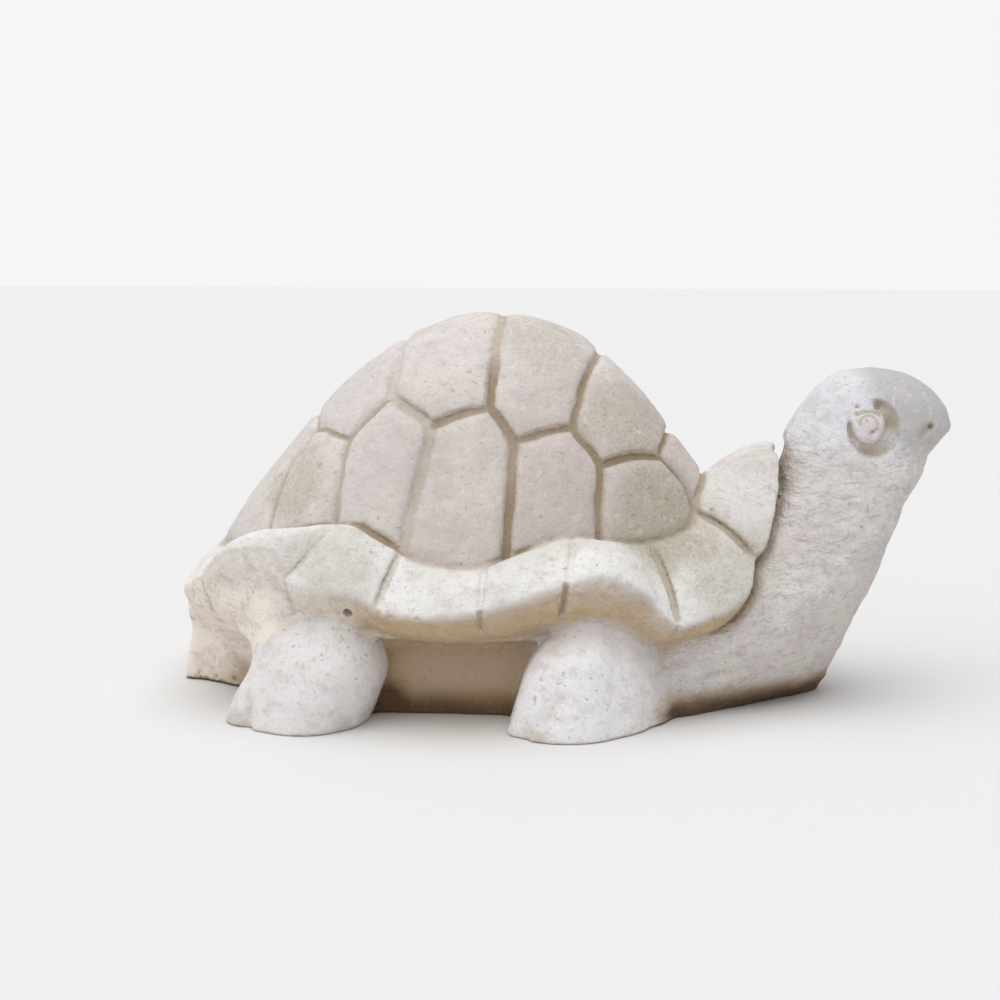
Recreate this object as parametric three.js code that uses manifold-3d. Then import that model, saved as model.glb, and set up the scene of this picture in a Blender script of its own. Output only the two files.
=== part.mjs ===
// A cast stone turtle: one solid piece with a flat underside.
// Millimetres, +Z up, +X towards the beak. The origin is under the middle of the piece, on the surface
// it stands on. Everything is listed for the right flank (-Y); the left flank mirrors it.
import * as THREE from "three";
import { mergeVertices } from "three/addons/utils/BufferGeometryUtils.js";
import Module from "manifold-3d";

const wasm = await Module();
wasm.setup();

// ---------- driving dimensions ----------

const RIGHT = -1;
const LEFT = 1;
const STONE = { color: 0xe9e4dc, roughness: 0.92, metalness: 0 };

// The shell's outline seen from above, and the dome inside it.
const RIM = { x: -24.6, halfLength: 93.4, halfWidth: 63, squareness: 2.4 };
const DOME = { x: -29, halfLength: 82, halfWidth: 51, floor: 26 };
const COVE = { reach: 0.6, height: 22 }; // where the hollow under the rim meets the body
const BODY_TOP = 36;
const TAIL_TOP = 36;
const HEAD_TOP = 102;
const LEG_TOP = 35;

// Grooves between scutes: a cutter of this radius whose centre runs a little above the surface.
const GROOVE = { radius: 2.3, sides: 5, lift: 0.6 };
const RIM_GROOVE = { radius: 1.9, sides: 5, lift: 0.5 };
// The creases between the toes and the corner of the mouth: their cutters' centres run on the surface.
const TOE_GROOVE = { radius: 1.2, sides: 4 };
const MOUTH_GROOVE = { radius: 1.3, sides: 4 };

const EYE = { x: 94.3, y: 17.8, z: 85.8, ring: 7.4, groove: 1.7, ball: 5.2, bulge: 2.2 };

// ---------- helpers ----------

// A smooth function through [x, y] stations that never overshoots them.
function through(stations) {
  const last = stations.length - 1;
  const slopes = stations.slice(1).map(([x, y], i) => (y - stations[i][1]) / (x - stations[i][0]));
  const tangents = stations.map((_, i) => {
    const before = slopes[Math.max(i - 1, 0)];
    const after = slopes[Math.min(i, last - 1)];
    return before * after <= 0 ? 0 : (2 * before * after) / (before + after);
  });
  return (x) => {
    const at = THREE.MathUtils.clamp(x, stations[0][0], stations[last][0]);
    const i = Math.min(stations.findLastIndex((station) => station[0] <= at), last - 1);
    const [[x0, y0], [x1, y1]] = [stations[i], stations[i + 1]];
    const width = x1 - x0;
    const t = (at - x0) / width;
    const values = (1 + 2 * t) * (1 - t) ** 2 * y0 + t ** 2 * (3 - 2 * t) * y1;
    return values + width * (t * (1 - t) ** 2 * tangents[i] - t ** 2 * (1 - t) * tangents[i + 1]);
  };
}

function toSolid(geometry) {
  const bare = geometry.clone();
  bare.deleteAttribute("normal");
  bare.deleteAttribute("uv");
  const merged = mergeVertices(bare, 1e-4);
  const mesh = new wasm.Mesh({
    numProp: 3,
    vertProperties: merged.getAttribute("position").array,
    triVerts: new Uint32Array(merged.index.array),
  });
  mesh.merge();
  return new wasm.Manifold(mesh);
}

function toGeometry(solid) {
  const mesh = solid.getMesh();
  const geometry = new THREE.BufferGeometry();
  geometry.setAttribute("position", new THREE.BufferAttribute(mesh.vertProperties, 3));
  geometry.setIndex(new THREE.BufferAttribute(mesh.triVerts, 1));
  geometry.computeVertexNormals();
  return geometry;
}

// A closed skin of rows, top to bottom: place(row, turn) gives the point, turn in degrees from the head.
// The first and last rows have to be single points.
function skin(around, rows, place) {
  const ball = new THREE.SphereGeometry(1, around, rows);
  const position = ball.getAttribute("position");
  for (let i = 0; i < position.count; i += 1) {
    const row = Math.floor(i / (around + 1));
    const turn = ((i % (around + 1)) / around) * 360 - 180;
    position.setXYZ(i, ...place(row, turn));
  }
  return toSolid(ball);
}

// A skin whose outline(level, turn) runs from a point at level 0 to the flat underside at level 1.
function standing(around, rows, outline, center) {
  return skin(around, rows, (row, turn) => (row === rows ? center : outline(row / (rows - 1), turn)));
}

// The cutter for a groove along these points.
function cutter(points, { radius, sides }) {
  const angles = Array.from({ length: sides }, (_, i) => (i / sides) * 2 * Math.PI);
  const corners = angles.map((a) => new THREE.Vector2(radius * Math.cos(a), radius * Math.sin(a)));
  const section = new THREE.Shape(corners);
  const path = new THREE.CatmullRomCurve3(points);
  return toSolid(new THREE.ExtrudeGeometry(section, { extrudePath: path, steps: points.length - 1 }));
}

// ---------- shell ----------

const spineHeight = through([
  [-112, 38], [-103, 52], [-94.5, 64], [-82, 79.3], [-69, 94.3], [-56, 105.3], [-43.6, 112.5], [-31, 117],
  [-20, 117.7], [-8, 116.5], [2, 113.2], [11, 107.5], [18.5, 101], [26, 93], [33, 84], [40, 74.5],
  [46, 66], [54, 52],
]);

// Heights of the rim by the angle from the head: a hood over the neck and a crest over each leg.
const lipHeight = through([
  [0, 77], [15, 76], [20, 68], [26, 53], [31, 41], [40, 34], [51, 31.5], [58, 42],
  [66, 47.5], [74, 44.5], [84, 38.5], [96, 35.2], [104, 36.5], [110, 41], [117, 41.5], [122, 42.5],
  [126, 53.5], [134, 52], [146, 42.5], [158, 34.5], [180, 29.5],
]);
const footHeight = through([
  [0, 69], [20, 64], [31, 56], [48, 54], [66, 56], [78, 52], [90, 47.5], [99, 48.5],
  [108, 54], [118, 59], [128, 57], [140, 51], [160, 48.5], [180, 48],
]);
const footReach = through([[0, 0.73], [40, 0.765], [90, 0.78], [140, 0.83], [180, 0.86]]);
// The hood over the neck reaches a little further forward at its sides.
const lipReach = through([[0, 1], [12, 1], [20, 1.03], [28, 1.02], [40, 1], [180, 1]]);
const lipThickness = through([
  [0, 8], [30, 8], [48, 5], [66, 11], [80, 8], [96, 6], [108, 6], [121, 7], [126, 17], [140, 15],
  [155, 9], [180, 6],
]);
// Angles of the seams between the rim's scutes, at the dome's foot and at the lip.
const RIM_SEAMS = [
  [0, 0], [25, 29], [47, 53], [66, 72], [86, 87], [105, 105.5], [120, 123], [155, 147], [180, 180],
];

function domeHalfWidth(x) {
  const along = Math.abs((x - DOME.x) / DOME.halfLength);
  return DOME.halfWidth * Math.max(0, 1 - along ** 2.5) ** (1 / 2.2);
}

function domeHeight(x, y) {
  const across = Math.min(1, Math.abs(y) / Math.max(domeHalfWidth(x), 0.001));
  return DOME.floor + (spineHeight(x) - DOME.floor) * (1 - across ** 2.25) ** (1 / 1.9);
}

// The point of the dome in this point's direction from the axis along the dome's floor.
function ontoDome({ x, y, z }, lift) {
  const rise = (z - DOME.floor) / (spineHeight(x) - DOME.floor);
  const spread = Math.abs(y) / domeHalfWidth(x);
  let scale = 1;
  for (let i = 0; i < 20; i += 1) scale /= ((scale * rise) ** 1.9 + (scale * spread) ** 2.25) ** 0.45;
  const arm = new THREE.Vector3(0, y * scale, (z - DOME.floor) * scale);
  return new THREE.Vector3(x, 0, DOME.floor).add(arm.addScaledVector(arm.clone().normalize(), lift));
}

// The point of the outline at this turn, scaled by reach: 1 is the rim.
function outlinePoint(turn, reach) {
  const a = THREE.MathUtils.degToRad(turn);
  const [u, v] = [Math.cos(a), Math.sin(a)];
  const { squareness } = RIM;
  const size = reach / (Math.abs(u) ** squareness + Math.abs(v) ** squareness) ** (1 / squareness);
  return [RIM.x + RIM.halfLength * u * size, RIM.halfWidth * v * size];
}

function rimHeight(angle, reach) {
  const out = THREE.MathUtils.clamp((reach - footReach(angle)) / (1 - footReach(angle)), 0, 1);
  const seams = RIM_SEAMS.map(([foot, lip]) => THREE.MathUtils.lerp(foot, lip, out));
  const i = Math.min(seams.findLastIndex((seam) => seam <= angle), seams.length - 2);
  const across = (angle - seams[i]) / (seams[i + 1] - seams[i]);
  const pillow = 6 * Math.sqrt(Math.max(0, across * (1 - across))) * Math.sin(Math.PI * out ** 1.2);
  return THREE.MathUtils.lerp(footHeight(angle), lipHeight(angle), out) + pillow;
}

// How far out the dome meets the rim at this turn.
function creaseReach(turn) {
  let [inside, outside] = [0.4, 1];
  for (let i = 0; i < 20; i += 1) {
    const middle = (inside + outside) / 2;
    if (domeHeight(...outlinePoint(turn, middle)) > rimHeight(Math.abs(turn), middle)) inside = middle;
    else outside = middle;
  }
  return inside;
}

const SHELL_ROWS = { dome: 9, rim: 4, lip: 2, cove: 2 };

function makeShell() {
  const crease = SHELL_ROWS.dome;
  const edge = crease + SHELL_ROWS.rim;
  const brim = edge + SHELL_ROWS.lip;
  const wall = brim + SHELL_ROWS.cove;
  return skin(56, wall + 1, (row, turn) => {
    const angle = Math.abs(turn);
    const creaseAt = creaseReach(turn);
    if (row <= crease) {
      const [x, y] = outlinePoint(turn, creaseAt * (row / crease) ** 0.75);
      return [x, y, row === crease ? rimHeight(angle, creaseAt) : domeHeight(x, y)];
    }
    if (row <= edge) {
      const out = (row - crease) / SHELL_ROWS.rim;
      const reach = THREE.MathUtils.lerp(creaseAt, 1, out);
      return [...outlinePoint(turn, reach * lipReach(angle) ** out), rimHeight(angle, reach)];
    }
    const brimHeight = lipHeight(angle) - lipThickness(angle);
    if (row <= brim) {
      const down = (row - edge) / SHELL_ROWS.lip;
      const height = THREE.MathUtils.lerp(lipHeight(angle), brimHeight, down);
      return [...outlinePoint(turn, lipReach(angle) * (1 - 0.05 * down ** 1.5)), height];
    }
    if (row > wall) return [RIM.x, 0, COVE.height];
    const inward = (row - brim) / SHELL_ROWS.cove;
    const reach = THREE.MathUtils.lerp(0.95, COVE.reach, inward);
    return [...outlinePoint(turn, reach), THREE.MathUtils.lerp(brimHeight, COVE.height, inward ** 0.7)];
  });
}

// Seams between the dome's scutes, on the right flank. Those that start at y = 0 cross the spine.
const DOME_SEAMS = [
  // between the scutes along the spine, then down between the big flank scutes
  [[-17.5, 0, 117], [-17.5, -12, 115], [-18.3, -27.5, 104], [-19.3, -35.4, 93], [-11.3, -39.8, 83],
    [-12.4, -45, 68], [-13.3, -48.5, 50]],
  [[12.5, 0, 104], [12, -12, 102], [5.4, -34.2, 86.4], [14.6, -35.7, 75.4], [13.7, -40.3, 64.6],
    [13.8, -43, 53]],
  [[34.8, 0, 80], [34, -10, 79], [31.4, -21.5, 76], [40.3, -17, 67.2], [43.4, -21, 54]],
  [[-48, 0, 110], [-48, -14, 107.5], [-50, -29.3, 94.9], [-35.9, -37.7, 87.4], [-37.4, -43.9, 71.9],
    [-42.9, -48.5, 50]],
  [[-76, 0, 82], [-75, -10, 82], [-73.5, -19.3, 81], [-82.2, -19.9, 69.3], [-86.6, -30.8, 52]],
  // between the spine scutes and the flank scutes
  [[-11.3, -39.8, 83], [5.4, -34.2, 86.4]],
  [[14.6, -35.7, 75.4], [31.4, -21.5, 76]],
  [[-35.9, -37.7, 87.4], [-19.3, -35.4, 93]],
  [[-50, -29.3, 94.9], [-62.7, -31.8, 81.9], [-63.4, -37.5, 72.1], [-64.3, -43, 57]],
  [[-73.5, -19.3, 81], [-62.7, -31.8, 81.9]],
];

const LONG_SEAM = 19; // seams longer than this get one more point on the dome

function domeGroove(nodes, side) {
  const corners = nodes.map(([x, y, z]) => new THREE.Vector3(x, -side * y, z));
  const points = corners.flatMap((corner, i) => {
    const isLong = i > 0 && corner.distanceTo(corners[i - 1]) > LONG_SEAM;
    return isLong ? [corners[i - 1].clone().lerp(corner, 0.5), corner] : [corner];
  });
  return cutter(points.map((point) => ontoDome(point, GROOVE.lift)), GROOVE);
}

function rimGroove([foot, lip], side) {
  const points = [-0.04, 0.5, 1.1].map((out) => {
    const angle = THREE.MathUtils.lerp(foot, lip, out);
    const reach = THREE.MathUtils.lerp(creaseReach(foot), 1, out);
    const [x, y] = outlinePoint(angle, reach * lipReach(angle) ** out);
    return new THREE.Vector3(x, side * y, rimHeight(angle, reach) + RIM_GROOVE.lift);
  });
  return cutter(points, RIM_GROOVE);
}

// ---------- body, tail, legs ----------

// Half of the body's outline, from the breast to the rump, on the ground and at its top.
const BODY_LOW = [
  through([[0, 70], [0.2, 56], [0.35, 46], [0.45, 38], [0.6, -12], [0.75, -50], [0.88, -80], [1, -104]]),
  through([[0, 0], [0.2, 15], [0.35, 27.5], [0.45, 36], [0.6, 39], [0.75, 38.5], [0.88, 29], [1, 0]]),
];
const BODY_HIGH = [
  through([[0, 72], [0.2, 64], [0.35, 52], [0.45, 38], [0.6, -12], [0.75, -50], [0.88, -82], [1, -104]]),
  through([[0, 0], [0.2, 14], [0.35, 26], [0.45, 37], [0.6, 39.5], [0.75, 39.5], [0.88, 34], [1, 0]]),
];

function bodyOutline(level, turn) {
  const along = Math.abs(turn) / 180;
  if (level === 0) return [RIM.x, 0, BODY_TOP];
  const height = Math.min(1, (1 - level) * 1.25);
  const [x, y] = BODY_LOW.map((low, axis) => {
    return THREE.MathUtils.lerp(low(along), BODY_HIGH[axis](along), height);
  });
  return [x, Math.sign(turn) * y, BODY_TOP * height];
}

// The tail is a thick wedge that hangs from the rim down to the ground.
const TAIL_ROOT = -84;
const TAIL_END = -120;
const TAIL_SKIN = { around: 16, rows: 8 };
const tailTip = through([
  [0, -120.2], [4, -120.1], [12, -118.7], [17.5, -117.6], [23, -118.2], [29, -117], [TAIL_TOP, -111],
]);
const tailHalfWidth = through([[TAIL_END, 0], [-119.3, 2.2], [-113.3, 4.2], [-100.6, 10.5], [TAIL_ROOT, 16]]);
const tailFlare = through([[0, 1], [10, 1.3], [20, 2], [26, 3], [TAIL_TOP, 3.4]]);

function tailOutline(level, turn) {
  const height = TAIL_TOP * (1 - level);
  const a = THREE.MathUtils.degToRad(turn);
  const x = THREE.MathUtils.mapLinear(Math.cos(a), -1, 1, tailTip(height), TAIL_ROOT);
  const station = THREE.MathUtils.mapLinear(x, tailTip(height), TAIL_ROOT, TAIL_END, TAIL_ROOT);
  return [x, Math.sign(Math.round(turn) % 180) * tailHalfWidth(station) * tailFlare(height), height];
}

function makeTail() {
  const { around, rows } = TAIL_SKIN;
  return skin(around, rows, (row, turn) => {
    if (row === 0) return [-100, 0, TAIL_TOP];
    return row === rows ? [-100, 0, 0] : tailOutline((row - 1) / (rows - 2), turn);
  });
}

// Each leg: its middle, and the reach of its foot by the angle from the head (-90 is straight out).
const FRONT_LEG = {
  y: 46,
  x: through([[0, 12], [LEG_TOP, 13]]),
  reach: through([
    [-180, 24.4], [-170, 24.3], [-145, 28], [-129, 27], [-118, 26], [-90, 22.2], [-54, 17.2], [-17, 18],
    [26, 25], [90, 20], [165, 23.8], [180, 24.4],
  ]),
  swell: through([
    [0, 1], [5, 0.95], [13, 0.87], [20, 0.77], [26, 0.62], [30, 0.44], [33, 0.25], [LEG_TOP, 0],
  ]),
  toes: [[[1, -60, 15], [-2, -64.5, 7], [-5, -67.5, -1]], [[-6, -54, 12], [-8, -58, 6], [-11, -60, -1]]],
};
const REAR_LEG = {
  y: 46,
  x: through([[0, -72], [8, -69], [17, -65.8], [LEG_TOP, -65]]),
  reach: through([
    [-180, 24.6], [-166, 25.2], [-139, 21.3], [-113, 20.2], [-90, 20.2], [-49, 18.4], [-10, 17.3],
    [22, 17.8], [90, 18], [150, 22], [180, 24.6],
  ]),
  swell: through([[0, 1], [8, 0.99], [17, 0.93], [24, 0.78], [30, 0.5], [33, 0.28], [LEG_TOP, 0]]),
  toes: [[[-84, -57, 11], [-87.5, -59.5, 5], [-90.5, -61.5, -1]]],
};

function makeLeg(leg, side) {
  const outline = (level, turn) => {
    const height = LEG_TOP * (1 - level ** 1.3);
    const a = THREE.MathUtils.degToRad(turn);
    const reach = leg.swell(height) * leg.reach(-side * turn);
    return [leg.x(height) + reach * Math.cos(a), side * leg.y + reach * Math.sin(a), height];
  };
  return standing(16, 8, outline, [leg.x(0), side * leg.y, 0]);
}

function toeGroove(nodes, side) {
  return cutter(nodes.map(([x, y, z]) => new THREE.Vector3(x, -side * y, z)), TOE_GROOVE);
}

// ---------- neck and head ----------

// Front and back of the neck and head by height, and half their width.
const throat = through([
  [0, 81.5], [12.7, 87.4], [27, 93.2], [37, 97.6], [51, 102.3], [60.6, 105.7], [70, 111], [75, 113],
  [79.4, 116.4], [84.1, 119.9], [88.7, 118.9], [92.7, 116.4], [96.1, 112.8], [99.7, 105.4], [HEAD_TOP, 95],
]);
const nape = through([
  [0, -40], [20, 0], [36, 28], [48, 50], [60, 62.5], [70, 67.4], [76, 68.6], [80.5, 69.2], [84, 70.8],
  [88, 73], [93, 76.5], [97, 80.3], [100.5, 86], [HEAD_TOP, 95],
]);
const neckHalfWidth = through([
  [0, 37.5], [20, 36.8], [34, 34.5], [44, 30.5], [54, 27], [64, 24.6], [72, 22.2], [78, 20], [85, 18.6],
  [92, 16.5], [97, 12.5], [100.5, 7], [HEAD_TOP, 0],
]);
const neckSquareness = through([
  [0, 1.25], [7, 1.5], [15, 1.75], [28, 2.1], [40, 2.5], [52, 2.8], [62, 2.9], [70, 3], [79, 2.5], [86, 2.2],
  [HEAD_TOP, 2.2],
]);

function neckOutline(level, turn) {
  const height = HEAD_TOP * (1 - level ** 1.5);
  const [front, back] = [throat(height), nape(height)];
  const a = THREE.MathUtils.degToRad(turn);
  const [u, v] = [Math.cos(a), Math.sin(a)];
  const squareness = neckSquareness(height);
  const size = 1 / (Math.abs(u) ** squareness + Math.abs(v) ** squareness) ** (1 / squareness);
  const x = (front + back) / 2 + ((front - back) / 2) * u * size;
  const beak = 1 - 0.25 * Math.max(0, u) ** 2 * THREE.MathUtils.smoothstep(height, 70, 84);
  return [x, neckHalfWidth(height) * v * size * beak, height];
}

function faceCuts(side) {
  const ring = new THREE.TorusGeometry(EYE.ring, EYE.groove, 6, 20);
  ring.scale(1, 1.12, 1).rotateX(Math.PI / 2).rotateX(side * 0.12).translate(EYE.x, side * EYE.y, EYE.z);
  const mouth = [[108, 13.2, 81.6], [112.5, 10.4, 83], [116, 7.5, 84.2]];
  return [toSolid(ring), cutter(mouth.map(([x, y, z]) => new THREE.Vector3(x, side * y, z)), MOUTH_GROOVE)];
}

function eyeball(side) {
  const ball = new THREE.SphereGeometry(EYE.ball, 14, 8);
  ball.scale(1, EYE.bulge / EYE.ball, 1.05).translate(EYE.x, side * (EYE.y - 0.4), EYE.z);
  return toSolid(ball);
}

// ---------- assembly ----------

const lumps = [
  makeShell(),
  standing(44, 4, bodyOutline, [RIM.x, 0, 0]),
  makeTail(),
  standing(26, 21, neckOutline, [40, 0, 0]),
  ...[RIGHT, LEFT].flatMap((side) => [makeLeg(FRONT_LEG, side), makeLeg(REAR_LEG, side)]),
];
const plain = wasm.Manifold.union(lumps);
const cuts = [RIGHT, LEFT].flatMap((side) => [
  ...DOME_SEAMS.map((nodes) => domeGroove(nodes, side)),
  ...RIM_SEAMS.slice(1, -1).map((seam) => rimGroove(seam, side)),
  ...[...FRONT_LEG.toes, ...REAR_LEG.toes].map((nodes) => toeGroove(nodes, side)),
  ...faceCuts(side),
]);
cuts.push(rimGroove(RIM_SEAMS[0], RIGHT), rimGroove(RIM_SEAMS.at(-1), RIGHT));
const carved = plain.subtract(wasm.Manifold.union(cuts));
const turtle = wasm.Manifold.union([carved, eyeball(RIGHT), eyeball(LEFT)]);

const casting = new THREE.Mesh(toGeometry(turtle), new THREE.MeshStandardMaterial(STONE));
casting.name = "turtle";
const sculpture = new THREE.Group();
sculpture.add(casting);

export default sculpture;
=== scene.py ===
import math

import bmesh
import bpy
import numpy as np
import openvdb
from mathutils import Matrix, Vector


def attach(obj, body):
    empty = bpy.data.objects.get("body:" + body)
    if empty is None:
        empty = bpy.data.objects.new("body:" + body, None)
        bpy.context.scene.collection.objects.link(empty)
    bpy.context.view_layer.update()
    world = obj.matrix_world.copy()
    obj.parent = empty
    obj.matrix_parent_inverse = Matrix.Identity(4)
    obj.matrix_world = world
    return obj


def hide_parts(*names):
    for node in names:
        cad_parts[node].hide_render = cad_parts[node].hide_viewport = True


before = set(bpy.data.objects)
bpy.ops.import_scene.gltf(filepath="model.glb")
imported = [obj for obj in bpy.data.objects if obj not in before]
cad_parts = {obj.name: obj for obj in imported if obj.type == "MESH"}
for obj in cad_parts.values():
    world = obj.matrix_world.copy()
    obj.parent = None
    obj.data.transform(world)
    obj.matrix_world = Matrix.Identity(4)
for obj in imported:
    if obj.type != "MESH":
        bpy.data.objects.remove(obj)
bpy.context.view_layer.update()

# ---------- The dome of the shell ----------
# The whole turtle is one casting of sand and stone dust, tipped out of a mould and touched up with a knife.
# Each volume is a skin of rings in millimetres, +X towards the beak, and all join in one block of cells.
# The dome is a high oval, blunt at the back, whose cross-section is a full arch on a floor 26 mm up.

CELL = 0.7
BLOCK_LOW = np.array([-125.3, -73.5, -4.2])
BLOCK_CELLS = (356, 211, 180)
REACH = 12.0  # how far from a skin its distances are known

DOME_X = -29
DOME_HALF_LENGTH = 82
DOME_HALF_WIDTH = 51
DOME_FLOOR = 26
# A round form has 2 of each of these, and a higher one is squarer.
DOME_END_SQUARENESS = 2.5
DOME_FLANK_SQUARENESS = 2.2
ARCH_SIDE_SQUARENESS = 2.25
ARCH_TOP_SQUARENESS = 1.9


def through(stations):
    """A smooth function through (x, y) stations that never overshoots them."""
    xs, ys = np.array(stations, float).T
    slopes = np.diff(ys) / np.diff(xs)
    before = np.concatenate([slopes[:1], slopes])
    after = np.concatenate([slopes, slopes[-1:]])
    total = np.where(before * after > 0, before + after, 1)
    tangents = np.where(before * after > 0, 2 * before * after / total, 0)

    def at(x):
        x = np.clip(x, xs[0], xs[-1])
        i = np.clip(np.searchsorted(xs, x, side="right") - 1, 0, len(xs) - 2)
        width = xs[i + 1] - xs[i]
        t = (x - xs[i]) / width
        values = (1 + 2 * t) * (1 - t) ** 2 * ys[i] + t**2 * (3 - 2 * t) * ys[i + 1]
        return values + width * (t * (1 - t) ** 2 * tangents[i] - t**2 * (1 - t) * tangents[i + 1])

    return at


def volume(rings):
    """Distances from a closed skin of rings to the points of the block, less than 0 inside it."""
    rows, around = rings.shape[:2]
    corner = np.arange(rows * around).reshape(rows, around)
    beside = np.roll(corner, -1, axis=1)
    quads = np.stack([corner[:-1], corner[1:], beside[1:], beside[:-1]], axis=-1).reshape(-1, 4)
    points = (rings.reshape(-1, 3) - BLOCK_LOW).astype(np.float32)
    skin = openvdb.FloatGrid.createLevelSetFromPolygons(
        points, quads=quads.astype(np.uint32), transform=openvdb.createLinearTransform(CELL),
        halfWidth=REACH / CELL,
    )
    block = np.empty(BLOCK_CELLS, np.float32)
    skin.copyToArray(block)
    return block


spine_height = through([
    (-112, 38), (-103, 52), (-94.5, 64), (-82, 79.3), (-69, 94.3), (-56, 105.3), (-43.6, 112.5),
    (-31, 117), (-20, 117.7), (-8, 116.5), (2, 113.2), (11, 107.5), (18.5, 101), (26, 93), (33, 84),
    (40, 74.5), (46, 66), (54, 52),
])


def dome_half_width(x):
    along = np.abs((x - DOME_X) / DOME_HALF_LENGTH)
    return DOME_HALF_WIDTH * np.maximum(0, 1 - along**DOME_END_SQUARENESS) ** (1 / DOME_FLANK_SQUARENESS)


def dome_rings():
    x = DOME_X + DOME_HALF_LENGTH * np.sin(np.linspace(-math.pi / 2, math.pi / 2, 180))
    arch = np.linspace(0, math.pi, 121)
    floor = np.linspace(-1, 1, 22)[1:-1]
    sideways = np.sign(np.cos(arch)) * np.abs(np.cos(arch)) ** (2 / ARCH_SIDE_SQUARENESS)
    across = np.concatenate([sideways, floor])
    up = np.concatenate([np.sin(arch).clip(0) ** (2 / ARCH_TOP_SQUARENESS), 0 * floor])
    rise = spine_height(x) - DOME_FLOOR
    return np.stack([
        np.repeat(x[:, None], len(across), axis=1),
        dome_half_width(x)[:, None] * across,
        DOME_FLOOR + rise[:, None] * up,
    ], axis=-1)


dome = volume(dome_rings())

# ---------- The rim of the shell ----------
# A wavy flared lip round the dome, of sixteen plates that swell between their seams. It rises to a crest
# over each leg and to a hood over the neck. Its edge is rolled over, leans in, and is hollowed below.

RIM_X = -24.6
RIM_HALF_LENGTH = 93.4
RIM_HALF_WIDTH = 63
RIM_SQUARENESS = 2.4
PLATE_SWELL = 6
ROLL_LEAN = 0.05  # how far in the rolled edge leans, of the shell's reach
COVE_REACH = 0.6  # where the hollow under the rim ends, of the shell's reach
COVE_HEIGHT = 22

# All of these go by the angle from the head, in degrees.

lip_height = through([
    (0, 77), (15, 76), (20, 68), (26, 53), (31, 41), (40, 34), (51, 31.5), (58, 42),
    (66, 47.5), (74, 44.5), (84, 38.5), (96, 35.2), (104, 36.5), (110, 41), (117, 41.5), (122, 42.5),
    (126, 53.5), (134, 52), (146, 42.5), (158, 34.5), (180, 29.5),
])
foot_height = through([
    (0, 69), (20, 64), (31, 56), (48, 54), (66, 56), (78, 52), (90, 47.5), (99, 48.5),
    (108, 54), (118, 59), (128, 57), (140, 51), (160, 48.5), (180, 48),
])
foot_reach = through([(0, 0.73), (40, 0.765), (90, 0.78), (140, 0.83), (180, 0.86)])
lip_reach = through([(0, 1), (12, 1), (20, 1.03), (28, 1.02), (40, 1), (180, 1)])
lip_thickness = through([
    (0, 8), (30, 8), (48, 5), (66, 11), (80, 8), (96, 6), (108, 6), (121, 7), (126, 17), (140, 15),
    (155, 9), (180, 6),
])
# The seams between the plates, at the dome's foot and at the lip.
RIM_SEAMS = np.array([
    (0, 0), (25, 29), (45.5, 51), (66, 72), (86, 87), (105, 105.5), (120, 123), (155, 147), (180, 180),
])


def outline(angle, reach):
    """The point of the shell's outline at this angle from the head, scaled by reach: 1 is the lip."""
    u, v = np.cos(np.radians(angle)), np.sin(np.radians(angle))
    size = reach / (np.abs(u) ** RIM_SQUARENESS + np.abs(v) ** RIM_SQUARENESS) ** (1 / RIM_SQUARENESS)
    return RIM_X + RIM_HALF_LENGTH * u * size, RIM_HALF_WIDTH * v * size


def rim_height(angle, reach):
    """How high the top of the rim is at this angle and reach, with the swell of its plates."""
    out = np.clip((reach - foot_reach(angle)) / (1 - foot_reach(angle)), 0, 1)
    seams = RIM_SEAMS[:, 0] + (RIM_SEAMS[:, 1] - RIM_SEAMS[:, 0]) * np.asarray(out)[..., None]
    i = np.clip((seams <= np.asarray(angle)[..., None]).sum(-1) - 1, 0, len(RIM_SEAMS) - 2)[..., None]
    low, high = (np.take_along_axis(seams, i + step, axis=-1)[..., 0] for step in (0, 1))
    across = np.clip((angle - low) / (high - low), 0, 1)
    swell = PLATE_SWELL * np.sqrt(across * (1 - across)) * np.sin(math.pi * out**1.2)
    return foot_height(angle) * (1 - out) + lip_height(angle) * out + swell


def rim_rings():
    turn = np.linspace(-180, 180, 720, endpoint=False)
    angle = np.abs(turn)
    brim = lip_height(angle) - lip_thickness(angle)
    rings = [np.stack(np.broadcast_arrays(RIM_X, 0 * turn, 60.0), axis=-1)]
    for reach in np.linspace(0.4, 1, 60):
        out = np.clip((reach - foot_reach(angle)) / (1 - foot_reach(angle)), 0, 1)
        x, y = outline(turn, reach * lip_reach(angle) ** out)
        rings.append(np.stack([x, y, rim_height(angle, reach)], axis=-1))
    for down in np.linspace(0, 1, 14)[1:]:
        x, y = outline(turn, lip_reach(angle) * (1 - ROLL_LEAN * down**1.5))
        rings.append(np.stack([x, y, lip_height(angle) * (1 - down) + brim * down], axis=-1))
    for inward in np.linspace(0, 1, 24)[1:]:
        x, y = outline(turn, (1 - ROLL_LEAN) * (1 - inward) + COVE_REACH * inward)
        rings.append(np.stack([x, y, brim + (COVE_HEIGHT - brim) * inward**0.7], axis=-1))
    rings.append(np.stack(np.broadcast_arrays(RIM_X, 0 * turn, COVE_HEIGHT), axis=-1))
    return np.array(rings, float)


def softened(block, passes):
    """A block with its sharp edges rounded, more with each pass."""
    for _ in range(passes):
        for axis in range(3):
            padded = np.concatenate([block.take([0], axis), block, block.take([-1], axis)], axis=axis)
            cells = block.shape[axis]
            before, after = (padded.take(range(start, start + cells), axis) for start in (0, 2))
            block = (block * 2 + before + after) * 0.25
    return block


rim = softened(volume(rim_rings()), passes=5)

# ---------- Body and tail ----------
# The low body fills the middle between the legs and stands flat on the ground. The tail is a thick wedge
# under the back of the rim. Both were moulded with the rest, and start out a little longer than they end:
# all that is below the ground is cut off.

BELOW = -8.0
BODY_TOP = 36
TAIL_TOP = 36
TAIL_ROOT = -84
TAIL_END = -120

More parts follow.
